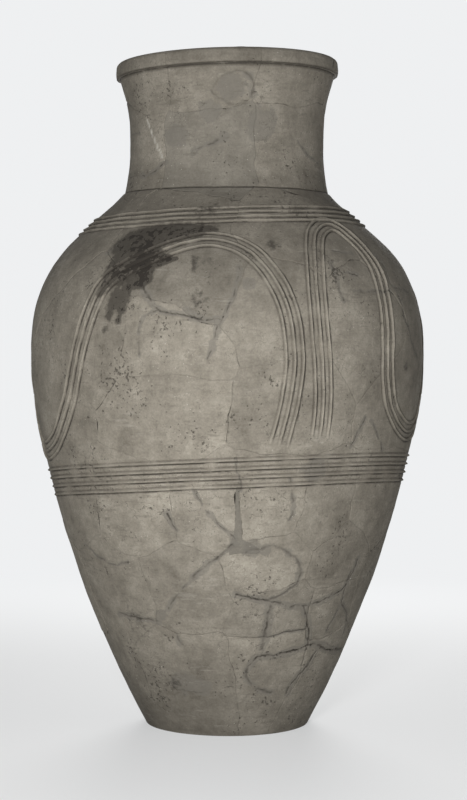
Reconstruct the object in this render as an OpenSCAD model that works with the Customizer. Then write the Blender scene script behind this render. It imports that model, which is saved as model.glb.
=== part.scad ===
// Large storage jar of pale clay, put together again from its sherds.
// Azimuths are degrees round the jar from the front (-Y), positive towards +X.

/* [Body] */
// Overall height
jar_h = 1300; // [1270:5:1330]
// Outer radius of the foot
foot_r = 160; // [150:1:170]
// Greatest outer radius, at the belly
belly_r = 385.5; // [375:0.5:395]
// Height of the greatest radius
belly_z = 733; // [715:1:750]
// Thickness of the wall
wall = 22; // [18:0.5:26]

/* [Base] */
// Radius of the slab that closes the bottom
base_r = 118; // [105:1:125]
// Thickness of the slab and of the floor round it
floor_t = 28; // [22:1:36]

/* [Neck and rim] */
// Height at which the neck rises from the shoulder
neck_z = 1040; // [1030:1:1050]
// Outer radius at the root of the neck
neck_root_r = 201; // [195:1:207]
// Outer radius of the narrowest part of the neck
neck_r = 190.5; // [185:0.5:194]
// Height of the narrowest part of the neck
waist_z = 1135; // [1120:1:1150]
// Outer radius of the neck right under the rim
neck_top_r = 212.5; // [208:0.5:216]
// Outer radius of the rim
rim_r = 220; // [218:0.5:226]
// Height of the rim band
rim_h = 30; // [26:1:34]
// Width of the level top of the rim
rim_flat = 14; // [10:1:18]

/* [Raised bands] */
// Height of the ridges above the clay
ridge_h = 3; // [2:0.25:4]
// Width of a ridge
ridge_w = 6; // [5:0.5:8]
// Spacing of the ridges in the wavy band
wave_pitch = 16.5; // [14:0.5:19]
// Number of ridges in the wavy band
wave_ridges = 3; // [2:1:3]
// Spacing of the ridges round the belly
belly_pitch = 16; // [14:0.5:18]
// Mean height of the band round the belly
belly_band_z = 486; // [476:1:496]
// How far the belly band swings above and below its mean height
belly_band_tilt = 28; // [20:1:32]
// Azimuth where the belly band is highest
belly_band_peak = 31; // [0:5:60]
// Number of ridges in the belly and shoulder bands
band_ridges = 4; // [2:1:4]
// Vertical spacing of the ridges round the shoulder
shoulder_pitch = 9; // [8:0.5:10]
// Mean height of the band round the shoulder
shoulder_band_z = 981; // [976:1:986]
// How far the shoulder band swings above and below its mean height
shoulder_band_tilt = 9; // [5:1:12]
// Azimuth where the shoulder band is highest
shoulder_band_peak = 75; // [50:5:90]

/* [Hidden] */
$fn = 180;

// Points of the wall's outline are [radius, height]
function bezier(p, n) = [for (i = [0:n]) let (t = i / n, u = 1 - t)
    u^3 * p[0] + 3 * u^2 * t * p[1] + 3 * u * t^2 * p[2] + t^3 * p[3]];
function tail(list) = [for (i = [1:len(list) - 1]) list[i]];

// How the curves leave the foot, swell at the belly and draw in below the neck
foot_slope = 0.57;
foot_reach = 180;
belly_reach = 195;
shoulder_reach = 185;
neck_slope = 0.97;
neck_reach = 87;
flare_slope = 0.3;
flare_reach = 58;

rim_z = jar_h - rim_h;
foot_curve = bezier([[foot_r, 0], [foot_r + foot_slope * foot_reach, foot_reach],
    [belly_r, belly_z - belly_reach], [belly_r, belly_z]], 8);
shoulder_curve = bezier([[belly_r, belly_z], [belly_r, belly_z + shoulder_reach],
    [neck_root_r + neck_slope * neck_reach, neck_z - neck_reach], [neck_root_r, neck_z]], 9);
root_reach = 30;
neck_curve = bezier([[neck_root_r, neck_z], [neck_root_r - root_reach / 4, neck_z + root_reach],
    [neck_r, waist_z - root_reach], [neck_r, waist_z]], 3);
flare_curve = bezier([[neck_r, waist_z], [neck_r, waist_z + flare_reach],
    [neck_top_r - flare_slope * flare_reach, rim_z - flare_reach], [neck_top_r, rim_z]], 4);
outline = concat(foot_curve, tail(shoulder_curve), tail(neck_curve), tail(flare_curve));
radius_at = [for (p = outline) [p[1], p[0]]];

// The rim overhangs the neck and is rounded over above and inside
rim_round = rim_h / 3;
rim_in_r = rim_r - rim_round - rim_flat;
lip = [[rim_r - 1, rim_z + 1], [rim_r, rim_z + rim_round], [rim_r - 2, jar_h - rim_round + 2],
    [rim_r - rim_round / 2, jar_h - 1.5], [rim_r - rim_round, jar_h], [rim_in_r, jar_h],
    [rim_in_r - 4, jar_h - 2], [rim_in_r - 7, jar_h - rim_round]];

// The outline moved towards the inside of the wall by d, or outwards where d is negative
function inward(pts, d) = [for (i = [0:len(pts) - 1]) let (
    a = pts[max(i - 1, 0)], b = pts[min(i + 1, len(pts) - 1)],
    along = (b - a) / norm(b - a)) pts[i] + d * [-along[1], along[0]]];
// The inside corner over the floor is filled out to this height and width
corner_rise = 30;
corner_in = 14;
inside = [for (p = inward(outline, wall)) if (p[1] > floor_t + corner_rise && p[1] < rim_z) p];
corner_r = lookup(floor_t, radius_at) - wall - corner_in;
wall_outline = concat(outline, lip, [for (i = [len(inside) - 1:-1:0]) inside[i]],
    [[corner_r, floor_t], [base_r, floor_t], [base_r, 0]]);

// A point on the outer surface
function on_jar(az, z) = let (r = lookup(z, radius_at)) [r * sin(az), -r * cos(az), z];

// The courses of sherds from the rim down: [name, level, centres]. A centre is [azimuth, height
// above the level]. Each sherd is the clay nearer to its own centre than to any other, so
// neighbours share one flat break.
courses = [
    ["rim", jar_h - 40, [[-8, 2], [36, -2], [108, 5], [-148, -4], [-54, 4]]],
    ["neck", neck_z + 90, [[40, 2], [108, -6], [-152, 8], [-66, -12]]],
    ["shoulder", neck_z - 80, [[-20, 8], [24, -2], [66, -42], [124, 2], [-174, -5], [-118, 6], [-64, -5]]],
    ["upper_belly", belly_z + 60, [[-9, 69], [13, 7], [43, -23], [84, -3], [140, 2], [-158, 12],
        [-96, -8], [-43, -21], [-16, -51]]],
    ["belly", belly_z - 100, [[-18, -5], [20, 7], [60, 7], [112, -8], [172, 7], [-122, -18], [-62, -5]]],
    ["waist", belly_band_z - 46, [[-5, 0], [14, 5], [31, -10], [58, 10], [112, 5], [176, 15],
        [-118, -5], [-64, 10], [-30, 0]]],
    ["lower", 260, [[15, 78], [22, -17], [46, -20], [76, 15], [140, 10], [-144, 2], [-86, 10], [-48, 30],
        [-14, 30], [42, 78]]],
    ["foot", 100, [[-16, 40], [22, 55], [54, 40], [112, 0], [-160, -8], [-80, 0]]],
];
// The plaster in the front of the neck is shaped like a sherd
neck_fill_at = [-8, neck_z + 82];
sherds = concat([["neck_fill", neck_fill_at[0], neck_fill_at[1]]],
    [for (c = courses, i = [0:len(c[2]) - 1]) [str(c[0], "_", i + 1), c[2][i][0], c[1] + c[2][i][1]]]);

// Sherds farther apart than this never meet
reach = 1.2 * belly_r;
// Half of the arc of wall that a sherd is cut from
half_arc = 72;
// Large enough to cover a sherd from one side of a break
beyond = 1600;

// The wavy band runs as two garlands of arches. Each is the line of its middle ridge, in points
// of [azimuth, height above the belly] from one hanging end to the other.
left_garland = [[-178, -173], [-177, -83], [-174, 27], [-167, 127], [-153, 192], [-137, 207],
    [-121, 187], [-108, 137], [-99, 57], [-91, -43], [-85, -133], [-79, -180], [-73, -193],
    [-61, -164], [-50, -88], [-43, 37], [-37, 125], [-22, 177], [-8, 201], [3, 192],
    [11, 155], [16.5, 82], [18.5, -13], [17.5, -93], [15, -171]];
right_garland = [[27.5, -160], [27.5, -78], [25.8, 55], [27, 147], [32, 210], [41, 234],
    [48, 217], [51.5, 157], [51, 67], [51.2, -43], [56, -111], [67, -153], [79, -145],
    [87, -83], [91, 7], [95, 107], [104, 187], [121, 215], [139, 192], [151, 127],
    [158, 37], [161, -63], [162, -163]];

// A smooth line through a list of points, with n steps from each to the next
function smooth(p, n) = let (last = len(p) - 1) concat([for (i = [0:last - 1], k = [0:n - 1])
    let (t = k / n, a = p[max(i - 1, 0)], b = p[i], c = p[i + 1], d = p[min(i + 2, last)])
    b + t / 2 * (c - a) + t^2 / 2 * (2 * a - 5 * b + 4 * c - d) + t^3 / 2 * (3 * b - a - 3 * c + d)],
    [p[last]]);

// A line of [azimuth, height] as points on the jar, each with its unit step sideways along the clay
function outward(az, z) = let (slope = lookup(z + 8, radius_at) - lookup(z - 8, radius_at))
    [sin(az), -cos(az), -slope / 16];
function traced(line) = let (at = [for (p = line) on_jar(p[0], p[1])]) [for (i = [0:len(at) - 1])
    let (side = cross(outward(line[i][0], line[i][1]), at[min(i + 1, len(at) - 1)] - at[max(i - 1, 0)]))
    [at[i], side / norm(side)]];
function moved(traced_line, d) = [for (q = traced_line) let (p = q[0] + d * q[1])
    [p, q[1]]];

wave_lines = [for (g = [left_garland, right_garland], k = [0:wave_ridges - 1])
    moved(traced([for (p = smooth(g, 3)) [p[0], p[1] + belly_z]]), (k - (wave_ridges - 1) / 2) * wave_pitch)];
function swung(z, tilt, peak, az) = z + tilt * cos(az - peak);
function band_lines(z, tilt, peak, pitch, az) = [for (k = [0:band_ridges - 1])
    traced([for (a = [az - 54:6:az + 54])
        [a, swung(z, tilt, peak, a) + (k - (band_ridges - 1) / 2) * pitch]])];

// The stretches of a line that come near a place
ridge_reach = 270;
function starts(near) = [for (i = [0:len(near) - 1]) if (near[i] && (i == 0 || !near[i - 1])) i];
function ends(near) = [for (i = [0:len(near) - 1]) if (near[i] && (i == len(near) - 1 || !near[i + 1])) i];
function stretches(line, here) = let (near = [for (q = line) norm(q[0] - here) < ridge_reach],
    from = starts(near), to = ends(near))
    [for (i = [0:1:len(from) - 1]) if (to[i] > from[i]) [for (k = [from[i]:to[i]]) line[k]]];

// A stretch of ridge seen square on from an azimuth, as a flat strip
function seen(p, az) = [p[0] * cos(az) + p[1] * sin(az), p[2]];
module strip(stretch, az) {
    polygon(concat([for (q = stretch) seen(q[0] + ridge_w / 2 * q[1], az)],
        [for (i = [len(stretch) - 1:-1:0]) seen(stretch[i][0] - ridge_w / 2 * stretch[i][1], az)]));
}

// The half space on this side of the break between two centres
module side_of_break(here, there) {
    n = (there - here) / norm(there - here);
    translate((here + there) / 2) rotate([0, acos(n[2]), atan2(n[1], n[0])])
        translate([0, 0, -beyond / 2]) cube(beyond, center = true);
}

// An arc of this outline, centred on an azimuth
module wall_arc(pts, az) {
    rotate([0, 0, az - 90 - half_arc]) rotate_extrude(angle = 2 * half_arc) polygon(pts);
}

// The raised ridges that cross the wall round this place
skin = concat(inward(outline, -ridge_h), [for (i = [len(outline) - 1:-1:0]) inward(outline, ridge_h)[i]]);
module ridges(here, az) {
    lines = concat(wave_lines,
        band_lines(belly_band_z, belly_band_tilt, belly_band_peak, belly_pitch, az),
        band_lines(shoulder_band_z, shoulder_band_tilt, shoulder_band_peak, shoulder_pitch, az));
    near = [for (line = lines) each stretches(line, here)];
    if (len(near) > 0) intersection() {
        wall_arc(skin, az);
        rotate([90, 0, az]) linear_extrude(beyond / 2) for (stretch = near) strip(stretch, az);
    }
}

// A wedge of plaster fills a gap that narrows upwards under the belly band
wedge_az = 3.5;
wedge_top = belly_band_z - 6;
wedge = [[-3, 0], [3, 0], [5, -50], [11, -88], [33, -100], [44, -114], [-12, -116], [-8, -80]];
module wedge_shape() {
    rotate([90, 0, wedge_az]) linear_extrude(beyond / 2) translate([0, wedge_top]) polygon(wedge);
}

module sherd(s) {
    here = on_jar(s[1], s[2]);
    near = [for (o = sherds) let (p = on_jar(o[1], o[2])) if (o[0] != s[0] && norm(p - here) < reach) p];
    color(s[0] == "neck_fill" ? "#8f8a7e" : "#9c9484")
    difference() {
        intersection() {
            union() {
                wall_arc(wall_outline, s[1]);
                ridges(here, s[1]);
            }
            intersection_for (p = near) side_of_break(here, p);
        }
        if (norm(here - on_jar(wedge_az, wedge_top)) < ridge_reach) wedge_shape();
    }
}

module wedge_fill() {
    color("#8f8a7e") intersection() {
        wall_arc(wall_outline, wedge_az);
        wedge_shape();
    }
}

module base_slab() {
    color("#8d8575") cylinder(r = base_r, h = floor_t);
}

for (s = sherds) sherd(s);
wedge_fill();
base_slab();
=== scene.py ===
import math
import random
import bmesh
import bpy
import numpy as np
from mathutils import Matrix, Vector, kdtree, noise


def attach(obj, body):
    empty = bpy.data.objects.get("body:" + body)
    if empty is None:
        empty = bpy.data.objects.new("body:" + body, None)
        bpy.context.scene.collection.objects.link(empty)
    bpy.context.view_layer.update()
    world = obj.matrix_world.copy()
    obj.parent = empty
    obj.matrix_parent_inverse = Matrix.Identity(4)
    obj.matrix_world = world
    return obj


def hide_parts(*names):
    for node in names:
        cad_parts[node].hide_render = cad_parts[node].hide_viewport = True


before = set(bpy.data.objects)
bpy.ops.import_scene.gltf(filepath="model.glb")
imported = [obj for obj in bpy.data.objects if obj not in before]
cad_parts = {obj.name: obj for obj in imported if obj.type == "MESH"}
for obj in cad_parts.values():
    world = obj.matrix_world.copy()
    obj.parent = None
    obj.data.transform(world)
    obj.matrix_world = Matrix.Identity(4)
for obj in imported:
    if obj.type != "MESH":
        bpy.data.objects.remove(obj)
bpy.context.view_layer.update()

# The jar is a revolved wall broken into sherds. Azimuths are in degrees from the front (-Y)
# towards +X, and every length is in metres.
jar = {
    "height": 1.3,
    "footRadius": 0.16,
    "bellyRadius": 0.3855,
    "bellyHeight": 0.733,
    "wall": 0.022,
    "slabRadius": 0.118,
    "floor": 0.028,
    "neckHeight": 1.04,
    "neckRootRadius": 0.201,
    "neckRadius": 0.1905,
    "waistHeight": 1.135,
    "neckTopRadius": 0.2125,
    "rimRadius": 0.22,
    "rimHeight": 0.03,
    "rimFlat": 0.014,
}
rimFoot = jar["height"] - jar["rimHeight"]
meshing = {"cell": 0.0105, "innerCell": 0.03, "halfArc": 66, "window": 0.27, "sherdReach": 0.4626,
           "onSurface": 0.0016, "lipDepth": 0.0285}
breakNoise = [(0.016, 0.11, 1), (0.0062, 0.034, 2), (0.0013, 0.010, 3)]  # amplitude, size and seed


def bezier(points, step):
    # points of a cubic curve in the (radius, height) plane, about one step apart
    p = [np.array(q, float) for q in points]
    count = max(2, round(float(np.linalg.norm(p[3] - p[0])) / step))
    t = np.linspace(0, 1, count + 1)[:, None]
    return (1 - t) ** 3 * p[0] + 3 * (1 - t) ** 2 * t * p[1] + 3 * (1 - t) * t**2 * p[2] + t**3 * p[3]


def outerOutline(step):
    belly, neck = jar["bellyRadius"], jar["neckRootRadius"]
    swell = jar["bellyHeight"]
    spans = [
        [(jar["footRadius"], 0), (jar["footRadius"] + 0.57 * 0.18, 0.18), (belly, swell - 0.195),
         (belly, swell)],
        [(belly, swell), (belly, swell + 0.185), (neck + 0.97 * 0.087, jar["neckHeight"] - 0.087),
         (neck, jar["neckHeight"])],
        [(neck, jar["neckHeight"]), (neck - 0.0075, jar["neckHeight"] + 0.03),
         (jar["neckRadius"], jar["waistHeight"] - 0.03), (jar["neckRadius"], jar["waistHeight"])],
        [(jar["neckRadius"], jar["waistHeight"]), (jar["neckRadius"], jar["waistHeight"] + 0.058),
         (jar["neckTopRadius"] - 0.3 * 0.058, rimFoot - 0.058), (jar["neckTopRadius"], rimFoot)],
    ]
    curves = [bezier(span, step) for span in spans]
    return np.vstack([curves[0]] + [curve[1:] for curve in curves[1:]])


# The rim band: points down its face as (depth, height), and the radii that round it above and inside
lip = {"face": [(0.003, 0.0006), (0.0006, 0.002), (0, 0.006), (0, 0.012), (0.0006, 0.018)],
       "setBack": 0.009, "outerRound": (0.0082, 0.0085), "innerRound": (0.007, 0.009)}


def lipOutline():
    # the rim band stands out from the neck and is rounded over above and inside
    top, out, foot = jar["height"], jar["rimRadius"], rimFoot
    points = [(out - dip, foot + rise) for dip, rise in lip["face"]]
    arc = [math.radians(a) for a in range(0, 91, 15)]
    across, down = lip["outerRound"]
    points += [(out - lip["setBack"] + across * math.cos(a), top - down + down * math.sin(a)) for a in arc]
    across, down = lip["innerRound"]
    inner = out - lip["setBack"] - jar["rimFlat"]
    points += [(inner + across, top)]
    points += [(inner - across * math.sin(a), top - down + down * math.cos(a)) for a in arc]
    return points


fineOutline = outerOutline(0.002)
tableStep = 0.0005
heights = np.arange(0, jar["height"] + 0.02, tableStep)
radii = [float(r) for r in np.interp(heights, fineOutline[:, 1], fineOutline[:, 0])]


def radiusAt(height):
    at = min(max(height / tableStep, 0), len(radii) - 2)
    k = int(at)
    return radii[k] + (at - k) * (radii[k + 1] - radii[k])


def slopeAt(height):
    return (radiusAt(height + 0.004) - radiusAt(height - 0.004)) / 0.008


def wallOutline(height):
    # the closed outline of the wall, as far as the window round this height
    low, high = height - meshing["window"], height + meshing["window"]
    outer = [tuple(p) for p in outerOutline(meshing["cell"]) if low < p[1] < high]
    coarse = outerOutline(meshing["innerCell"])
    along = np.gradient(coarse, axis=0)
    along /= np.linalg.norm(along, axis=1)[:, None]
    inner = coarse + jar["wall"] * np.stack([-along[:, 1], along[:, 0]], 1)
    low = max(low, jar["floor"] + 0.03)
    inner = [tuple(p) for p in inner if low < p[1] < min(high, rimFoot - 0.004)]
    corner = radiusAt(jar["floor"]) - jar["wall"] - 0.014
    bottom = [(corner + 0.008, jar["floor"] + 0.008), (corner, jar["floor"]),
              (jar["slabRadius"], jar["floor"]), (jar["slabRadius"], 0)]
    return (outer + (lipOutline() if high > rimFoot else []) + inner[::-1]
            + (bottom if height < meshing["window"] else []))


def onJar(azimuth, height):
    a, r = math.radians(azimuth), radiusAt(height)
    return Vector((r * math.sin(a), -r * math.cos(a), height))


# Each sherd is the clay nearer to its own centre than to any other: azimuth and height in mm
sherdCentres = {
    "rim": [(-8, 1262), (36, 1258), (108, 1265), (-148, 1256), (-54, 1264)],
    "neck": [(40, 1132), (108, 1124), (-152, 1138), (-66, 1118)],
    "shoulder": [(-20, 968), (24, 958), (66, 918), (124, 962), (-174, 955), (-118, 966), (-64, 955)],
    "upper_belly": [(-9, 862), (13, 800), (43, 770), (84, 790), (140, 795), (-158, 805), (-96, 785),
                    (-43, 772), (-16, 742)],
    "belly": [(-18, 628), (20, 640), (60, 640), (112, 625), (172, 640), (-122, 615), (-62, 628)],
    "waist": [(-5, 440), (14, 445), (31, 430), (58, 450), (112, 445), (176, 455), (-118, 435), (-64, 450),
              (-30, 440)],
    "lower": [(15, 338), (22, 243), (46, 240), (76, 275), (140, 270), (-144, 262), (-86, 270), (-48, 290),
              (-14, 290), (42, 338)],
    "foot": [(-16, 140), (22, 155), (54, 140), (112, 100), (-160, 92), (-80, 100)],
}
neckFillCentre = (-8, 1122)


def allCentres():
    centres = {"neck_fill": (neckFillCentre[0], neckFillCentre[1] / 1000)}
    for zone, places in sherdCentres.items():
        for number, (azimuth, height) in enumerate(places, 1):
            centres[f"{zone}_{number}"] = (azimuth, height / 1000)
    return centres


centres = allCentres()

# The raised ridges: two garlands of arches, and the bands round the belly and the shoulder
ridge = {"width": 0.0054, "height": 0.0038, "wavePitch": 0.0165, "spacing": 0.0012, "fadeOver": 0.03,
         "reach": 0.0085, "grooveAt": 0.0038, "grooveWidth": 0.0014, "grooveDepth": 0.0009}
bands = [
    {"height": 0.486, "tilt": 0.028, "peak": 31, "pitch": 0.016, "count": 4},
    {"height": 0.981, "tilt": 0.009, "peak": 75, "pitch": 0.009, "count": 4},
]
garlands = [
    [(-178, 560), (-177, 650), (-174, 760), (-167, 860), (-153, 925), (-137, 940), (-121, 920), (-108, 870),
     (-99, 790), (-91, 690), (-85, 600), (-79, 553), (-73, 540), (-61, 569), (-50, 645), (-43, 770),
     (-37, 858), (-22, 910), (-8, 934), (3, 925), (11, 888), (16.5, 815), (18.5, 720), (17.5, 640),
     (15, 562)],
    [(27.5, 573), (27.5, 655), (25.8, 788), (27, 880), (32, 943), (41, 967), (48, 950), (51.5, 890),
     (51, 800), (51.2, 690), (56, 622), (67, 580), (79, 588), (87, 650), (91, 740), (95, 840), (104, 920),
     (121, 948), (139, 925), (151, 860), (158, 770), (161, 670), (162, 570)],
]


def smoothLine(points, spacing):
    # a curve through points of (azimuth, height in mm), as places on the jar with steps sideways
    p = np.array(points, float)
    p = np.vstack([p[0], p, p[-1]])
    line = []
    for a, b, c, d in zip(p, p[1:], p[2:], p[3:]):
        start, end = onJar(b[0], b[1] / 1000), onJar(c[0], c[1] / 1000)
        for t in np.linspace(0, 1, max(2, round((end - start).length / spacing)), endpoint=False):
            line.append(b + t / 2 * (c - a) + t**2 / 2 * (2 * a - 5 * b + 4 * c - d)
                        + t**3 / 2 * (3 * b - a - 3 * c + d))
    line.append(p[-1])
    places = [onJar(az, z / 1000) for az, z in line]
    sides = []
    for i, (az, z) in enumerate(line):
        a = math.radians(az)
        out = Vector((math.sin(a), -math.cos(a), -slopeAt(z / 1000)))
        ahead = places[min(i + 1, len(line) - 1)] - places[max(i - 1, 0)]
        sides.append(out.cross(ahead).normalized())
    return places, sides


def ridgePlaces():
    found = []
    for garland in garlands:
        places, sides = smoothLine(garland, ridge["spacing"])
        count = len(places)
        for k in (-1, 0, 1):
            for i, (p, s) in enumerate(zip(places, sides)):
                fade = min(1, (min(i, count - 1 - i) + 1) * ridge["spacing"] / ridge["fadeOver"])
                found.append((p + k * ridge["wavePitch"] * s, fade))
    for band in bands:
        steps = round(2 * math.pi * radiusAt(band["height"]) / ridge["spacing"])
        for k in range(band["count"]):
            for a in np.linspace(-180, 180, steps, endpoint=False):
                swing = band["tilt"] * math.cos(math.radians(a - band["peak"]))
                z = band["height"] + swing + (k - (band["count"] - 1) / 2) * band["pitch"]
                found.append((onJar(a, z), 1))
    return found


def treeOf(places):
    tree = kdtree.KDTree(len(places))
    for i, place in enumerate(places):
        tree.insert(place, i)
    tree.balance()
    return tree


ridgeFound = ridgePlaces()
ridgeTree = treeOf([p for p, _ in ridgeFound])
print("ridge places", len(ridgeFound))

# Cracks and mends on the face of the clay: width in mm, strength, points of (azimuth, height in mm)
cracks = [
    (5, 0.85, [(3.3, 284), (10, 277), (17, 267), (28, 257), (34, 259), (42, 268), (50, 282), (53, 306),
               (55, 336)]),
    (8, 0.6, [(16.5, 259), (16, 220), (15, 177)]),
    (6, 1.0, [(31, 255), (35, 224), (39, 183)]),
    (6, 1.0, [(10, 142), (12.3, 156), (15.4, 163), (27, 166), (35, 175), (43, 178), (53, 163), (72, 150)]),
    (5, 1.0, [(45, 163), (42, 135), (36, 109), (34, 83)]),
    (7, 0.7, [(10, 142), (9.6, 127), (12.7, 104), (23.5, 89)]),
    (4, 1.0, [(52, 313), (51.6, 253), (48, 201)]),
    (4, 1.0, [(51.6, 253), (61, 226), (65.4, 191)]),
    (7, 0.4, [(7, 364), (11.4, 370), (17.7, 373), (22.6, 355), (26, 340), (26.5, 305), (23.3, 288),
              (16.5, 272)]),
    (4, 0.55, [(-10.2, 478), (-5.3, 433), (2.8, 388)]),
    (5, 0.5, [(2.8, 380), (-3.5, 354), (-11.5, 320), (-23.5, 253)]),
    (6, 0.55, [(-28.6, 227), (-39.6, 231), (-49.8, 235)]),
    (5, 0.4, [(-24.7, 223), (-19.4, 181)]),
    (5, 0.75, [(-18.8, 436), (-17.9, 423), (-16.4, 403)]),
    (4, 0.5, [(-59.3, 365), (-53.4, 345), (-44.3, 333), (-36.7, 340)]),
    (4, 0.4, [(-30.7, 115), (-26, 90), (-12.6, 89)]),
    (5, 0.85, [(-24.4, 850), (-21.6, 822), (-19, 806), (-16.9, 796), (-12.7, 795), (-7.2, 787),
               (-1.3, 785)]),
    (4, 0.5, [(-18.4, 802), (-22.1, 795), (-24, 772), (-24.5, 723)]),
    (4, 0.7, [(3.8, 885), (2.5, 848), (0.5, 812), (-1.3, 785), (-3.7, 750), (-5, 714)]),
    (4, 0.65, [(33.3, 893), (33.4, 851), (33.8, 823)]),
    (4, 0.7, [(57.4, 912), (57.6, 883), (57.4, 855), (69.7, 844)]),
    (4, 0.8, [(59.7, 846), (61.3, 799), (65.8, 752), (72.2, 718)]),
    (4, 0.7, [(36.2, 917), (43.8, 911)]),
    (4, 0.65, [(37.3, 875), (42.3, 871)]),
    (4, 0.7, [(39.1, 838), (55.6, 843)]),
    (4, 0.85, [(39, 558), (41.4, 585), (43.2, 607)]),
    (4, 0.7, [(45.9, 603), (53.8, 546)]),
    (4, 0.75, [(-74.2, 1071), (-50.9, 1070), (-36.2, 1088)]),
    (3, 0.5, [(-87.4, 1157), (-60.6, 1154)]),
    (7, 0.3, [(5.6, 1193), (-5, 1207), (-8.1, 1225), (-1, 1250), (9.9, 1253), (13.4, 1236), (13.3, 1208),
              (5.6, 1193)]),
    (5, 0.6, [(-19.6, 1109), (-6.8, 1126), (2, 1134)]),
    (3, 0.4, [(-34.8, 1209), (-22.7, 1205), (-12, 1199)]),
    (3, 0.6, [(46.3, 1127), (55.5, 1104), (66.9, 1096)]),
    (4, 0.5, [(2.6, 538), (3.2, 517), (4.2, 476)]),
    (4, 0.45, [(18.6, 501), (20.9, 460), (20.3, 423)]),
]


def wanderingCracks(count, seed):
    # more of the same on the sides and the back, which the photograph doesn't show
    chance = random.Random(seed)
    lines = []
    for _ in range(count):
        azimuth, z, heading = chance.uniform(88, 262), chance.uniform(110, 1000), chance.uniform(0, 360)
        line = []
        for _ in range(chance.randint(3, 6)):
            line.append((azimuth, z))
            heading += chance.uniform(-55, 55)
            azimuth += 7 * math.cos(math.radians(heading))
            z = min(1230, max(70, z + 45 * math.sin(math.radians(heading))))
        lines.append((chance.uniform(3, 6), chance.uniform(0.35, 0.8), line))
    return lines


cracks += wanderingCracks(22, 4)
crackPlaces = [(p, width / 1000, strength) for width, strength, line in cracks
               for p in smoothLine(line, 0.002)[0]]
crackTree = treeOf([p for p, _, _ in crackPlaces])
scratchWidth = 0.0026
scratchTree = treeOf(smoothLine([(-52.2, 1178), (-46.3, 1138), (-39.4, 1100)], 0.002)[0])

# Patches of plaster on the face: azimuth, height in mm, radius in mm
patches = [
    (-27.1, 240, 11), (8.5, 371, 16), (13, 368, 12), (-22, 105, 26), (-14, 100, 22), (26.8, 514, 24),
    (-10.8, 800, 9), (6.2, 852, 12), (-41, 914, 8), (-1.7, 1135, 11), (2, 1225, 26), (-9, 1185, 20),
    (20, 1160, 30), (-30, 1140, 22),
]

# where the three parts of the noise are taken, far enough apart to be unlike
apart = [Vector(v) for v in ((9.32, -1.53, -7.95), (0.41, 3.27, 5.16), (6.33, 0.17, -2.67))]


def drift(p):
    # a noise with three parts, the same in every run
    return Vector([noise.noise(p + v) for v in apart])


def warped(p):
    # breaks wander: every point of the wall slides along it by a shared noise
    spread = Vector((p.x, p.y, 0))
    out = spread.normalized()
    shift = Vector()
    for amount, size, seed in breakNoise:
        shift += amount * drift(p / size + Vector((seed, 2 * seed, 3 * seed)))
    shift -= out * shift.dot(out)
    shift.z *= min(1, max(0, p.z / 0.05), max(0, (jar["height"] - 0.035 - p.z) / 0.05))
    widening = radiusAt(p.z + shift.z) - radiusAt(p.z)
    slid = (spread + Vector((shift.x, shift.y, 0))).normalized() * (spread.length + widening)
    return Vector((slid.x, slid.y, p.z + shift.z))


# How open the breaks are: a least everywhere, and more in patches, behind and low on the right
opening = {"least": 0.035, "front": 0.07, "behind": 0.5, "lowRight": 0.45, "patch": 0.10, "behindFrom": 62,
           "behindOver": 25, "lowRightAt": (40, 0.2), "lowRightSpread": (30, 0.1)}


def jointStrength(p):
    # faint in front, where the photograph shows few, and patchy behind
    a = math.degrees(math.atan2(p.x, -p.y))
    patch = max(0, 0.5 + 0.9 * noise.noise(p / opening["patch"] + Vector((5, 1, 8))))
    behind = min(1, max(0, (abs(a) - opening["behindFrom"]) / opening["behindOver"]))
    (atA, atZ), (overA, overZ) = opening["lowRightAt"], opening["lowRightSpread"]
    lowRight = math.exp(-((a - atA) / overA) ** 2 - ((p.z - atZ) / overZ) ** 2)
    return min(1, opening["least"] + patch * (opening["front"] + opening["behind"] * behind
                                              + opening["lowRight"] * lowRight))


def wallArc(azimuth, height):
    # the closed section of the wall, spun through an arc and capped at both ends
    bm = bmesh.new()
    section = [bm.verts.new((r, 0, z)) for r, z in wallOutline(height)]
    rim = [bm.edges.new((a, b)) for a, b in zip(section, section[1:] + section[:1])]
    start = math.radians(azimuth - 90 - meshing["halfArc"])
    bmesh.ops.rotate(bm, verts=section, cent=(0, 0, 0), matrix=Matrix.Rotation(start, 3, "Z"))
    arc = math.radians(2 * meshing["halfArc"])
    steps = round(arc * radiusAt(height) / meshing["cell"])
    spun = bmesh.ops.spin(bm, geom=section + rim, cent=(0, 0, 0), axis=(0, 0, 1), angle=arc, steps=steps)
    lastRim = [e for e in spun["geom_last"] if isinstance(e, bmesh.types.BMEdge)]
    bmesh.ops.contextual_create(bm, geom=rim)
    bmesh.ops.contextual_create(bm, geom=lastRim)
    return bm


def cutAlong(bm, place, direction):
    # keeps what lies behind a plane and closes the cut with one face, and tells whether it met the plane
    parts = bm.verts[:] + bm.edges[:] + bm.faces[:]
    cut = bmesh.ops.bisect_plane(bm, geom=parts, dist=1e-6, plane_co=place, plane_no=direction,
                                 clear_outer=True)
    rim = [e for e in cut["geom_cut"] if isinstance(e, bmesh.types.BMEdge) and e.is_boundary]
    if rim:
        bmesh.ops.holes_fill(bm, edges=rim, sides=0)
    return bool(rim)


def breaksRound(name):
    # the planes between a sherd's centre and the centres near it, nearest first
    here = onJar(*centres[name])
    others = [onJar(*place) for other, place in centres.items() if other != name]
    near = sorted(((p - here).length, tuple(p)) for p in others)
    near = [(away, p) for away, p in near if away < meshing["sherdReach"]]
    return [((here + Vector(p)) / 2, (Vector(p) - here).normalized()) for _, p in near]


def onOuter(p):
    r = math.hypot(p.x, p.y)
    if p.z > rimFoot + 0.0003:
        return r > jar["rimRadius"] - meshing["lipDepth"]
    return abs(r - radiusAt(p.z)) < meshing["onSurface"]


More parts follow.
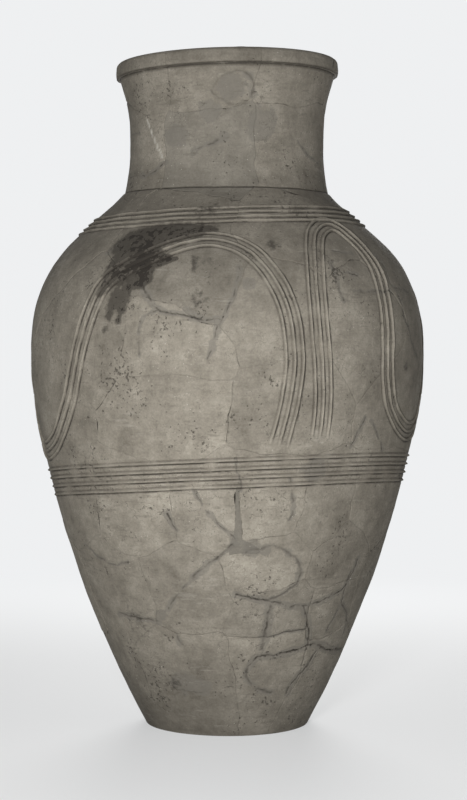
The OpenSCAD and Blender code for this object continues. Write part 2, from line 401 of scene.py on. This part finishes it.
def outerFaces(bm):
    outside = {v for v in bm.verts if onOuter(v.co)}
    return [f for f in bm.faces if outside.issuperset(f.verts)]


def refine(bm, planes):
    # the outside gets a finer net, and the ridges, cracks and broken edges a finer one still
    reaches = [(1, 1, 1), (0.0105, 0.008, 0.0095), (0.006, 0.0045, 0.0035)]
    for ridgeReach, crackReach, breakReach in reaches:
        outer = outerFaces(bm)
        bmesh.ops.triangulate(bm, faces=[f for f in outer if len(f.verts) > 4])
        edges = {}
        for f in outerFaces(bm):
            centre = f.calc_center_median()
            gap = min([(place - centre).dot(normal) for place, normal in planes], default=1)
            centre = warped(centre)
            if (gap < breakReach or abs(centre.z - neckLine["height"]) < breakReach
                    or ridgeTree.find(centre)[2] < ridgeReach or crackTree.find(centre)[2] < crackReach):
                edges.update(dict.fromkeys(f.edges))
        bmesh.ops.subdivide_edges(bm, edges=list(edges), cuts=1, use_grid_fill=True)
    return {v for f in outerFaces(bm) for v in f.verts}


# A turned line where the neck stands on the shoulder, with a low ledge under it
neckLine = {"height": 1.0395, "width": 0.0024, "depth": 0.0014,
            "ledge": 0.0016, "ledgeRise": 0.003, "ledgeFade": 0.02}
paintedRimShadow = {"below": 0.0005, "width": 0.0045}  # a painted shadow in the corner under the overhanging rim
chips = {"size": 0.028, "over": 0.42, "depth": 0.012}  # broken out of the rim

# Soot and stains: azimuth, height in mm, radius in mm, strength
soot = [
    (-38.2, 923, 16, 0.9), (-36.5, 936, 17, 1.0), (-34.7, 941, 18, 1.0), (-31.1, 946, 18, 1.0),
    (-27.4, 950, 18, 1.05), (-23.2, 951, 18, 1.0), (-19.1, 952, 18, 1.05), (-14.7, 954, 17, 1.0),
    (-9.9, 954, 16, 0.95), (-5, 955, 14, 0.85), (-35, 909, 17, 0.85), (-32.7, 918, 18, 0.9),
    (-30.5, 923, 18, 0.95), (-27.3, 925, 16, 0.95), (-31.5, 895, 17, 0.9), (-27.3, 906, 16, 1.35),
    (-26.6, 889, 17, 1.5), (-25.5, 872, 16, 1.55), (-25.1, 853, 10, 1.35), (-24.7, 903, 13, 1.4),
    (-22.5, 907, 12, 1.35), (-20.3, 899, 9, 1.4), (-18.1, 898, 7, 1.35), (-15.8, 897, 4, 1.2),
    (-23.4, 886, 10, 1.25), (-20.9, 888, 8, 1.2), (-27.6, 852, 10, 1.15), (-29.3, 841, 10, 1.1),
    (-22.8, 859, 7, 1.05), (-36.1, 890, 16, 0.85), (-37.4, 870, 16, 0.8), (-31.9, 863, 18, 0.95),
    (-32.3, 830, 14, 1.0), (-33.6, 814, 12, 0.95), (-30.4, 805, 10, 0.9), (-34.2, 794, 10, 0.85),
    (-29.4, 823, 12, 0.95), (-31.1, 786, 9, 0.8), (-34.9, 769, 8, 0.75), (-25.3, 930, 17, 1.05),
    (-21, 935, 16, 1.05), (-16, 940, 15, 1.0), (-28.9, 919, 17, 1.05), (-10.6, 946, 14, 0.95),
    (-33.9, 877, 15, 1.0), (-35.3, 862, 14, 0.95), (-36.9, 849, 12, 0.9), (-38.2, 836, 10, 0.85),
    (-31.1, 871, 15, 1.1), (-28.9, 883, 14, 1.2), (-16.9, 896, 5, 1.2), (-15.4, 898, 4, 1.1),
    (-18.8, 894, 7, 1.3), (-25.1, 893, 11, 1.4), (-10.1, 901, 5, 0.65), (-9.8, 893, 6, 0.75),
    (-9.6, 886, 5, 0.65), (-9.8, 879, 5, 0.6), (-9.4, 872, 5, 0.5), (-6.2, 890, 24, 0.5),
    (-7.4, 821, 26, 0.5), (14.6, 925, 15, 0.7), (62, 700, 12, 0.7), (-8, 990, 40, 0.55),
    (30, 1000, 40, 0.45), (-28, 100, 34, 0.55), (-40, 225, 38, 0.5), (150, 900, 60, 0.85),
    (-120, 300, 50, 0.75), (172, 420, 45, 0.7), (100, 840, 40, 0.7),
]
sootPlaces = [(onJar(a, z / 1000), size / 1000, strength) for a, z, size, strength in soot]
sootTree = treeOf([place for place, _, _ in sootPlaces])
spreads = {"soot": (0.11, 1.25), "plaster": (0.05, 1.6)}  # how far a stain is looked for, and its softness


def sootAt(p):
    # neighbouring stains run together
    reach, softness = spreads["soot"]
    found = 0
    for place, index, away in sootTree.find_range(p, reach):
        _, size, strength = sootPlaces[index]
        found += (strength * math.exp(-(away / (softness * size)) ** 2)) ** 2
    return math.sqrt(found)


plasterPlaces = [(onJar(a, z / 1000), size / 1000) for a, z, size in patches]
plasterTree = treeOf([place for place, _ in plasterPlaces])


def plasterAt(p):
    reach, softness = spreads["plaster"]
    found = plasterTree.find_range(p, reach)
    return max([1 - away / (softness * plasterPlaces[index][1]) for _, index, away in found], default=0)


# Tone of single sherds beside the rest
tones = {"upper_belly_1": 0.85, "upper_belly_9": 1.05, "belly_1": 1.04, "lower_1": 1.06,
         "lower_2": 0.93, "lower_3": 0.97, "foot_2": 1.05, "neck_4": 0.95, "waist_3": 0.96,
         "lower_10": 0.92, "neck_fill": 0.93}
# Colour factor by height: darker at the foot, over the shoulder under the neck, and at the rim
toneLine = [
    (0, 0.66), (0.06, 0.76), (0.2, 1.02), (0.35, 1.07), (0.55, 1.05), (0.78, 1.02), (0.9, 0.84),
    (1.03, 0.78), (1.1, 0.98), (1.24, 0.95), (1.3, 0.78),
]
toneByHeight = [float(tone) for tone in np.interp(np.arange(0, 1.34, 0.01), *zip(*toneLine))]
uneven = [(0.0028, 0.19, 11), (0.0010, 0.06, 12), (0.00035, 0.017, 13)]  # height, size and seed
# The breaks themselves, each with what an open one adds, and the plaster smeared beside them
joint = {"width": 0.0016, "openWidth": 0.0036, "depth": 0.0003, "openDepth": 0.0030, "step": 0.0006,
         "dirt": 0.12, "openDirt": 1.1, "smear": 0.003, "openSmear": 0.016}
lean = {"slope": 0.021, "from": 1.0, "over": 0.27}  # the neck leans: its left side is lower


def outwardAt(p):
    a = math.atan2(p.x, -p.y)
    z = min(max(p.z, 0.004), rimFoot - 0.004)
    return Vector((math.sin(a), -math.cos(a), -slopeAt(z))).normalized()


shadeSide = Vector((0.72, 0, -0.69))  # the dark edge of a ridge is painted heavier on this side, away from the light, as painted shadow


def ridgeAt(p):
    # height of the ridges over a place, worn and uneven along them, with how dark its edge is painted: dirt
    # in the groove, heavier on the side away from the light as painted shadow
    place, index, away = ridgeTree.find(p)
    if away > ridge["reach"]:
        return 0, 0, 0
    fade = ridgeFound[index][1]
    wear = fade * (0.86 + 0.5 * noise.noise(p / 0.05 + Vector((2, 4, 6))))
    crest = max(0, 1 - (away / (ridge["width"] / 2)) ** 2) ** 0.9
    groove = fade * math.exp(-((away - ridge["grooveAt"]) / ridge["grooveWidth"]) ** 2)
    side = min(1, max(0, 0.85 + 0.45 * (p - place).dot(shadeSide) / max(away, 1e-6)))
    dirt = groove * side * min(1, max(0, 0.9 + 1.2 * noise.noise(p / 0.03 + Vector((9, 4, 1)))))
    return ridge["height"] * wear * crest - ridge["grooveDepth"] * groove, dirt, crest


crackForm = {"waver": [(0.0045, 0.022), (0.0016, 0.007)], "deepest": 0.0028, "steepness": 0.45,
             "reach": 3, "core": 0.5, "beside": 2.2}  # the last three in widths of the crack


def crackAt(p):
    # depth of a crack under a place, how dark it is and how near the plaster beside it
    (wide, wideSize), (narrow, narrowSize) = crackForm["waver"]
    shaken = p + wide * drift(p / wideSize) + narrow * drift(p / narrowSize)
    place, index, away = crackTree.find(shaken)
    _, width, strength = crackPlaces[index]
    if away > crackForm["reach"] * width:
        return 0, 0, 0
    strength *= max(0, 1.2 + 0.8 * noise.noise(p / 0.024 + Vector((3, 3, 7))))
    core = max(0, 1 - away / (crackForm["core"] * width)) * strength
    depth = core * min(crackForm["deepest"], crackForm["steepness"] * width)
    return depth, core, max(0, 1 - away / (crackForm["beside"] * width)) * strength


def shape(bm, name, outer, planes, step):
    # moves the wall to its uneven hand-made form and returns the marks that the clay shows
    zone = name.rsplit("_", 1)[0]
    ownTone = tones.get(name, 1) * (1 + 90 * step)
    marks = []
    moved = []
    for v in bm.verts:
        p = v.co.copy()
        outside = v in outer
        if outside and p.z < rimFoot:
            spread = Vector((p.x, p.y, 0)).normalized() * radiusAt(p.z)
            p = Vector((spread.x, spread.y, p.z))
        q = warped(p)
        lift = step + sum(h * noise.noise(q / size + Vector((seed, 0, seed))) for h, size, seed in uneven)
        if outside:
            gap = min([(place - v.co).dot(normal) for place, normal in planes], default=1)
            openness = jointStrength(q)
            near = max(0, 1 - gap / (joint["width"] + joint["openWidth"] * openness))
            rise, dirt, crest = ridgeAt(q)
            depth, dark, beside = crackAt(q)
            below = neckLine["height"] - q.z
            line = max(0, 1 - abs(below) / neckLine["width"])
            ledge = max(0, min(1, below / neckLine["ledgeRise"]))
            ledge *= math.exp(-max(0, below) / neckLine["ledgeFade"])
            # painted shadow under the overhanging rim
            under = max(0, 1 - abs(q.z - rimFoot + paintedRimShadow["below"]) / paintedRimShadow["width"])
            chip = 0
            if q.z > rimFoot:
                chip = max(0, noise.noise(q / chips["size"] + Vector((4, 8, 2))) - chips["over"])
            lift += rise - depth - near**1.4 * (joint["depth"] + joint["openDepth"] * openness)
            lift += neckLine["ledge"] * ledge - neckLine["depth"] * line - chips["depth"] * chip
            band = max(0, 1 - gap / (joint["smear"] + joint["openSmear"] * openness)) * openness
            tone = ownTone * toneByHeight[int(q.z * 100)]
            scratch = max(0, 1 - scratchTree.find(q)[2] / scratchWidth) if zone == "neck" else 0
            jointDirt = min(1, near * (joint["dirt"] + joint["openDirt"] * openness))
            # the fifth mark holds the ridges' dirt and painted shadow, the darkened turned line and the
            # painted shadow under the rim; the sixth the crest, lightened partly as a painted highlight
            marks.append((jointDirt, sootAt(q), tone, dark,
                          max(dirt, line, under), crest, max(beside, band, plasterAt(q)), scratch))
        else:
            marks.append((0, 0, 0.9, 0, 0, 0, 0, 0))
        q += outwardAt(q) * lift
        upper = min(1, max(0, (q.z - lean["from"]) / lean["over"]))
        q.z += lean["slope"] * q.x * upper * upper * (3 - 2 * upper)
        q.z = min(max(q.z, 0), jar["height"] + 0.008) if v.co.z > 0.0005 else 0
        moved.append(q)
    for v, q in zip(bm.verts, moved):
        v.co = q
    return marks


wedge = {"azimuth": 3.5, "top": 0.48, "middle": 0.06, "reach": 0.26, "sunk": -0.0006,
         "outline": [(-3, 0), (3, 0), (5, -50), (11, -88), (33, -100), (44, -114), (-12, -116), (-8, -80)]}


def meshOf(bm, name):
    mesh = bpy.data.meshes.new(name)
    bm.to_mesh(mesh)
    bm.free()
    return mesh


def wedgePrism():
    # the outline of the wedge, extruded outwards from inside the jar
    bm = bmesh.new()
    corners = [bm.verts.new((x / 1000, -0.2, wedge["top"] + z / 1000)) for x, z in wedge["outline"]]
    face = bm.faces.new(corners)
    pulled = bmesh.ops.extrude_face_region(bm, geom=[face])["geom"]
    moving = [v for v in pulled if isinstance(v, bmesh.types.BMVert)]
    bmesh.ops.translate(bm, verts=moving, vec=(0, -0.25, 0))
    bmesh.ops.rotate(bm, verts=bm.verts, cent=(0, 0, 0),
                     matrix=Matrix.Rotation(math.radians(wedge["azimuth"]), 3, "Z"))
    bmesh.ops.recalc_face_normals(bm, faces=bm.faces)
    return meshOf(bm, "wedgePrism")


def combined(bm, operation):
    # the wall less the wedge, or the wall inside it
    blank = bpy.data.objects.new("blank", meshOf(bm, "blank"))
    tool = bpy.data.objects.new("tool", wedgePrism())
    for thing in (blank, tool):
        bpy.context.scene.collection.objects.link(thing)
    cutter = blank.modifiers.new("wedge", "BOOLEAN")
    cutter.operation = operation
    cutter.object = tool
    cutter.solver = "EXACT"
    bpy.context.view_layer.update()
    result = bmesh.new()
    result.from_object(blank, bpy.context.evaluated_depsgraph_get())
    for thing in (blank, tool):
        mesh = thing.data
        bpy.data.objects.remove(thing)
        bpy.data.meshes.remove(mesh)
    return result


def addPiece(name, bm, marks, material):
    bmesh.ops.recalc_face_normals(bm, faces=bm.faces)
    mesh = meshOf(bm, name + "_clay")
    for label, first in (("clayMarks", 0), ("faceMarks", 4)):
        layer = mesh.color_attributes.new(name=label, type="FLOAT_COLOR", domain="POINT")
        layer.data.foreach_set("color", [value for mark in marks for value in mark[first:first + 4]])
    mesh.shade_smooth()
    mesh.set_sharp_from_angle(angle=math.radians(48))
    mesh.materials.append(material)
    piece = bpy.data.objects.new("dressed_" + name, mesh)
    bpy.context.scene.collection.objects.link(piece)
    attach(piece, "root")
    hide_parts(name)
    return piece


def makeTree(name):
    material = bpy.data.materials.new(name)
    material.use_nodes = True
    tree = material.node_tree
    tree.nodes.clear()
    return material, tree


def add(tree, kind, values=None, **settings):
    # a node with its settings and inputs; an input is a value or another node's output
    node = tree.nodes.new("ShaderNode" + kind)
    for key, value in settings.items():
        setattr(node, key, value)
    for key, value in (values or {}).items():
        if isinstance(value, bpy.types.NodeSocket):
            tree.links.new(value, node.inputs[key])
        else:
            node.inputs[key].default_value = value
    return node


def calc(tree, operation, a, b=0.0, clamp=False):
    return add(tree, "Math", {0: a, 1: b}, operation=operation, use_clamp=clamp).outputs[0]


def mixColour(tree, factor, a, b, blend="MIX"):
    node = add(tree, "Mix", data_type="RGBA", blend_type=blend)
    for socket, value in ((0, factor), (6, a), (7, b)):
        if isinstance(value, bpy.types.NodeSocket):
            tree.links.new(value, node.inputs[socket])
        else:
            node.inputs[socket].default_value = value
    return node.outputs[2]


def weighted(tree, terms):
    total = calc(tree, "MULTIPLY", *terms[0])
    for value, weight in terms[1:]:
        total = calc(tree, "ADD", total, calc(tree, "MULTIPLY", value, weight))
    return total


def threshold(tree, value, low, high):
    # runs from 0 at low to 1 at high
    return add(tree, "MapRange", {"Value": value, "From Min": low, "From Max": high}).outputs[0]


def noiseOn(tree, where, scale, detail, roughness=0.55):
    values = {"Vector": where, "Scale": scale, "Detail": detail, "Roughness": roughness}
    return add(tree, "TexNoise", values).outputs["Fac"]


clay = {
    "dark": (0.132, 0.117, 0.094, 1), "middle": (0.255, 0.231, 0.190, 1), "light": (0.40, 0.366, 0.306, 1),
    "gap": (0.042, 0.036, 0.029, 1), "soot": (0.026, 0.022, 0.018, 1), "lime": (0.64, 0.61, 0.54, 1),
    "mend": (0.180, 0.166, 0.142, 1), "roughness": 0.88,
}
plaster = dict(clay, dark=(0.148, 0.133, 0.109, 1), middle=(0.248, 0.227, 0.189, 1),
               light=(0.36, 0.333, 0.281, 1))


# Scale, detail and roughness of the noises, from patches as wide as a hand down to the grain
noises = {"cloud": (4.2, 4), "blotch": (17, 6, 0.62), "small": (62, 5, 0.66), "fine": (260, 3, 0.7),
          "grit": (95, 3, 0.6), "wipe": (6, 6, 0.66), "roots": (21, 4, 0.6), "hairs": (46, 3, 0.55)}


def clayMaterial(name, look, grain):
    material, tree = makeTree(name)
    where = add(tree, "TexCoord").outputs["Object"]
    marks = add(tree, "Attribute", attribute_name="clayMarks")
    parts = add(tree, "SeparateColor", {"Color": marks.outputs["Color"]})
    jointMark, sootMark, tone = parts.outputs[0], parts.outputs[1], parts.outputs[2]
    faceMarks = add(tree, "Attribute", attribute_name="faceMarks")
    face = add(tree, "SeparateColor", {"Color": faceMarks.outputs["Color"]})
    dirtAndShadowMark, crestMark, mendMark = face.outputs[0], face.outputs[1], face.outputs[2]

    # cloudy tone
    cloud, blotch, small, fine, grit = [noiseOn(tree, where, *noises[kind])
                                        for kind in ("cloud", "blotch", "small", "fine", "grit")]
    wiped = add(tree, "Mapping", {"Vector": where, "Scale": (2.2, 2.2, 15)}).outputs[0]
    wipe = noiseOn(tree, wiped, *noises["wipe"])
    mixed = weighted(tree, [(cloud, 0.25), (blotch, 0.28), (small, 0.20), (wipe, 0.09), (fine, 0.18)])
    ramp = add(tree, "ValToRGB", {"Fac": mixed})
    ramp.color_ramp.elements[0].position = 0.36
    ramp.color_ramp.elements[0].color = look["dark"]
    ramp.color_ramp.elements[1].position = 0.64
    ramp.color_ramp.elements[1].color = look["light"]
    ramp.color_ramp.elements.new(0.5).color = look["middle"]
    toned = add(tree, "CombineColor", {"Red": tone, "Green": tone, "Blue": tone}).outputs[0]
    colour = mixColour(tree, 1.0, ramp.outputs[0], toned, "MULTIPLY")

    # plaster smeared over the mends, with a ragged edge
    ragged = weighted(tree, [(blotch, 0.5), (small, 0.5)])
    mend = threshold(tree, weighted(tree, [(mendMark, 1.0), (ragged, 2.0)]), 1.28, 1.42)
    colour = mixColour(tree, calc(tree, "MULTIPLY", mend, 0.62), colour, look["mend"])

    # thin wandering marks left by roots, in patches
    line = calc(tree, "ABSOLUTE", calc(tree, "SUBTRACT", noiseOn(tree, where, *noises["roots"]), 0.5))
    line = calc(tree, "MULTIPLY", calc(tree, "LESS_THAN", line, 0.006), threshold(tree, cloud, 0.5, 0.56))
    line = calc(tree, "MULTIPLY", line, threshold(tree, small, 0.46, 0.56))
    colour = mixColour(tree, calc(tree, "MULTIPLY", line, 0.6), colour, look["dark"])
    hair = calc(tree, "ABSOLUTE", calc(tree, "SUBTRACT", noiseOn(tree, where, *noises["hairs"]), 0.5))
    hair = calc(tree, "MULTIPLY", calc(tree, "LESS_THAN", hair, 0.008), threshold(tree, blotch, 0.47, 0.56))
    colour = mixColour(tree, calc(tree, "MULTIPLY", hair, 0.42), colour, look["dark"])

    # short dashes from smoothing the clay with a cloth
    dashed = add(tree, "Mapping", {"Vector": where, "Scale": (26, 26, 150), "Rotation": (0.08, 0, 0)})
    strokes, spread = noiseOn(tree, dashed.outputs[0], 1, 3, 0.6), noiseOn(tree, where, 8, 3)
    dash = weighted(tree, [(strokes, 1.0), (spread, 0.6)])
    for low, high, strength, shade in ((0.93, 1.02, 0.34, "dark"), (0.64, 0.55, 0.12, "lime")):
        mark = calc(tree, "MULTIPLY", threshold(tree, dash, low, high), strength)
        colour = mixColour(tree, mark, colour, look[shade])

    # ragged pits and lime specks
    pits, clusters = noiseOn(tree, where, 170, 2, 0.6), noiseOn(tree, where, 11, 4, 0.7)
    pit = threshold(tree, weighted(tree, [(pits, 1.0), (clusters, 0.9)]), 1.16, 1.21)
    specks = add(tree, "TexVoronoi", {"Vector": where, "Scale": 105.0, "Randomness": 1.0})
    limed = threshold(tree, noiseOn(tree, where, 9, 4), 0.5, 0.6)
    speck = calc(tree, "MULTIPLY", threshold(tree, specks.outputs["Distance"], 0.12, 0.06), limed)
    colour = mixColour(tree, calc(tree, "MULTIPLY", pit, 0.66), colour, look["gap"])
    colour = mixColour(tree, calc(tree, "MULTIPLY", speck, 0.55), colour, look["lime"])

    # rubbed crests, partly a painted highlight, soot with a speckled edge, dirt and painted shadow along
    # the ridges, the darkened turned line and the painted shadow under the rim, the gaps of the joints and
    # the cracks
    # the crests lighter: rubbed wear, and partly a painted highlight
    crestWearAndHighlight = calc(tree, "MULTIPLY", crestMark, calc(tree, "MULTIPLY", ragged, 0.55))
    colour = mixColour(tree, crestWearAndHighlight, colour, look["light"])
    sooty = weighted(tree, [(sootMark, 0.68), (blotch, 0.3), (small, 0.5), (grit, 0.6)])
    wash = threshold(tree, sooty, 0.96, 1.18)
    speckled = weighted(tree, [(sootMark, 0.45), (grit, 1.6), (blotch, 0.3)])
    thick = threshold(tree, speckled, 1.50, 1.55)
    colour = mixColour(tree, calc(tree, "MULTIPLY", wash, 0.70), colour, look["soot"])
    colour = mixColour(tree, calc(tree, "MULTIPLY", thick, 0.92), colour, look["soot"])
    # dirt and painted shadow at the ridges' edges, the darkened turned line and the painted shadow under
    # the rim
    dirt = calc(tree, "MULTIPLY", dirtAndShadowMark, threshold(tree, small, 0.22, 0.47), True)
    colour = mixColour(tree, calc(tree, "MULTIPLY", dirt, 1.15, True), colour, look["gap"])
    gap = calc(tree, "MULTIPLY", jointMark, threshold(tree, ragged, 0.36, 0.60), True)
    colour = mixColour(tree, gap, colour, look["gap"])
    dark = calc(tree, "MULTIPLY", marks.outputs["Alpha"], threshold(tree, ragged, 0.30, 0.52), True)
    colour = mixColour(tree, calc(tree, "MULTIPLY", dark, 1.25, True), colour, look["gap"])
    scratch = calc(tree, "MULTIPLY", faceMarks.outputs["Alpha"], threshold(tree, small, 0.26, 0.42))
    colour = mixColour(tree, scratch, colour, look["lime"])

    # relief from broad hand marks down to the grain
    relief = weighted(tree, [(blotch, 0.8), (wipe, 0.35), (small, 0.45), (fine, 0.22 * grain), (pit, -0.5),
                             (mend, -0.10), (line, -0.15)])
    bump = add(tree, "Bump", {"Height": relief, "Strength": 0.8, "Distance": 0.0022})
    rough = calc(tree, "ADD", calc(tree, "MULTIPLY", fine, 0.16), look["roughness"] - 0.08, True)
    surface = add(tree, "BsdfPrincipled", {"Base Color": colour, "Roughness": rough,
                                           "Normal": bump.outputs[0], "Specular IOR Level": 0.25})
    tree.links.new(surface.outputs[0], add(tree, "OutputMaterial").inputs[0])
    return material


def buildSherds():
    clays = {zone: clayMaterial(zone + "Clay", clay, 1.0) for zone in sherdCentres}
    fillMaterial = clayMaterial("restorersPlaster", plaster, 0.5)
    wedgeMiddle = onJar(wedge["azimuth"], wedge["top"] - wedge["middle"])
    for number, name in enumerate(centres):
        azimuth, height = centres[name]
        bm = wallArc(azimuth, height)
        planes = [plane for plane in breaksRound(name) if cutAlong(bm, *plane)]
        bmesh.ops.recalc_face_normals(bm, faces=bm.faces)
        if (onJar(azimuth, height) - wedgeMiddle).length < wedge["reach"]:
            bm = combined(bm, "DIFFERENCE")
        outer = refine(bm, planes)
        step = joint["step"] * noise.noise(Vector((number * 1.7, 0.3, 0.9))) * 2
        marks = shape(bm, name, outer, planes, step)
        zone = name.rsplit("_", 1)[0]
        piece = addPiece(name, bm, marks, fillMaterial if name == "neck_fill" else clays[zone])
    print("sherds", len(centres))
    return fillMaterial


def buildWedgeFill(material):
    # sits a little below the clay round it
    bm = wallArc(wedge["azimuth"], wedge["top"])
    bmesh.ops.recalc_face_normals(bm, faces=bm.faces)
    bm = combined(bm, "INTERSECT")
    outer = refine(bm, [])
    marks = shape(bm, "wedge_fill", outer, [], wedge["sunk"])
    piece = addPiece("wedge_fill", bm, [(0, 0, 0.72) + mark[3:] for mark in marks], material)
    print("wedge of plaster")


slab = {"radius": jar["slabRadius"], "height": jar["floor"], "edge": 0.003, "steps": 96, "rings": 10,
        "pressed": 0.0012, "pressedSize": 0.03}


def buildSlab(material):
    # a hand-pressed disc with rounded edges
    r, h, edge = slab["radius"], slab["height"], slab["edge"]
    section = [(0, 0)] + [(r * k / slab["rings"], 0) for k in range(1, slab["rings"])]
    section += [(r - edge, 0), (r, edge), (r, h / 2), (r, h - edge), (r - edge, h)]
    section += [(r * k / slab["rings"], h) for k in range(slab["rings"] - 1, 0, -1)] + [(0, h)]
    bm = bmesh.new()
    line = [bm.verts.new((x, 0, z)) for x, z in section]
    edges = [bm.edges.new(pair) for pair in zip(line, line[1:])]
    bmesh.ops.spin(bm, geom=line + edges, cent=(0, 0, 0), axis=(0, 0, 1), angle=2 * math.pi,
                   steps=slab["steps"], use_merge=True)
    bmesh.ops.remove_doubles(bm, verts=bm.verts, dist=1e-5)
    for v in bm.verts:
        if v.co.z > h - 0.001:
            v.co.z += slab["pressed"] * noise.noise(v.co / slab["pressedSize"])
    piece = addPiece("base_slab", bm, [(0, 0, 0.9, 0, 0, 0, 0, 0)] * len(bm.verts), material)
    print("slab")


view = {"focal": 1900.0, "frameHeight": 800.0, "distance": 3.766, "eye": 0.7195, "sensor": 36.0,
        "aside": 6.5, "below": 43.0}  # focal length, offsets and frame height in pixels of the photograph
lights = {
    "key": {"place": (-0.25, -2.4, 0.72), "size": 0.35, "power": 44},
    "fill": {"place": (2.8, -2.6, 1.6), "size": 2.6, "power": 7},
    "back": {"place": (0.3, 4.2, 1.5), "size": 2.0, "power": 150},
}
backdrop = {"colour": (0.86, 0.87, 0.88, 1), "near": 0.75, "far": 2.6, "least": 0.52, "ambient": 0.12,
            "floorPale": (0.82, 0.82, 0.81, 1), "floorDark": (0.40, 0.40, 0.39, 1),
            "floorRadius": 14, "floorHeight": -0.0006}
lightAim = Vector((0, 0, 0.65))


def buildCamera():
    data = bpy.data.cameras.new("camera")
    data.sensor_width = view["sensor"]
    data.lens = view["focal"] / view["frameHeight"] * view["sensor"]
    data.shift_x = view["aside"] / view["frameHeight"]
    data.shift_y = -view["below"] / view["frameHeight"]
    data.clip_end = 60
    camera = bpy.data.objects.new("camera", data)
    camera.location = (0, -view["distance"], view["eye"])
    camera.rotation_euler = (math.radians(90), 0, 0)
    bpy.context.scene.collection.objects.link(camera)
    bpy.context.scene.camera = camera


def seenByCamera(tree):
    rays = add(tree, "LightPath")
    return calc(tree, "MAXIMUM", rays.outputs["Is Camera Ray"], rays.outputs["Is Glossy Ray"])


def buildLights():
    for name, light in lights.items():
        data = bpy.data.lights.new(name, "AREA")
        data.energy = light["power"]
        data.size = light["size"]
        lamp = bpy.data.objects.new(name, data)
        lamp.location = light["place"]
        lamp.visible_camera = False
        aim = lightAim - Vector(light["place"])
        lamp.rotation_euler = aim.to_track_quat("-Z", "Y").to_euler()
        bpy.context.scene.collection.objects.link(lamp)
    world = bpy.data.worlds.new("studio")
    bpy.context.scene.world = world
    world.use_nodes = True
    tree = world.node_tree
    tree.nodes.clear()
    seen = seenByCamera(tree)
    dim = backdrop["ambient"]
    strength = calc(tree, "ADD", calc(tree, "MULTIPLY", seen, 1 - dim), dim)
    sky = add(tree, "Background", {"Color": backdrop["colour"], "Strength": strength})
    tree.links.new(sky.outputs[0], add(tree, "OutputWorld").inputs[0])


def buildFloor():
    bm = bmesh.new()
    bmesh.ops.create_circle(bm, cap_ends=True, segments=96, radius=backdrop["floorRadius"])
    mesh = meshOf(bm, "floor")
    material, tree = makeTree("paleFloor")
    pale = mixColour(tree, seenByCamera(tree), backdrop["floorDark"], backdrop["floorPale"])
    surface = add(tree, "BsdfPrincipled", {"Base Color": pale, "Roughness": 0.8})
    away = add(tree, "VectorMath", {0: add(tree, "TexCoord").outputs["Object"]}, operation="LENGTH")
    faded = add(tree, "MapRange", {"Value": away.outputs["Value"], "From Min": backdrop["near"],
                                   "From Max": backdrop["far"], "To Min": backdrop["least"]},
                interpolation_type="SMOOTHSTEP").outputs[0]
    glow = add(tree, "Emission", {"Color": backdrop["colour"]})
    mixed = add(tree, "MixShader", {0: calc(tree, "MULTIPLY", faded, seenByCamera(tree)),
                                    1: surface.outputs[0], 2: glow.outputs[0]})
    tree.links.new(mixed.outputs[0], add(tree, "OutputMaterial").inputs[0])
    mesh.materials.append(material)
    floor = bpy.data.objects.new("floor", mesh)
    floor.location.z = backdrop["floorHeight"]
    bpy.context.scene.collection.objects.link(floor)


buildCamera()
buildLights()
buildFloor()
buildWedgeFill(buildSherds())
buildSlab(clayMaterial("slabClay", clay, 1.2))

bpy.context.scene.view_settings.view_transform = "Standard"
bpy.context.view_layer.update()
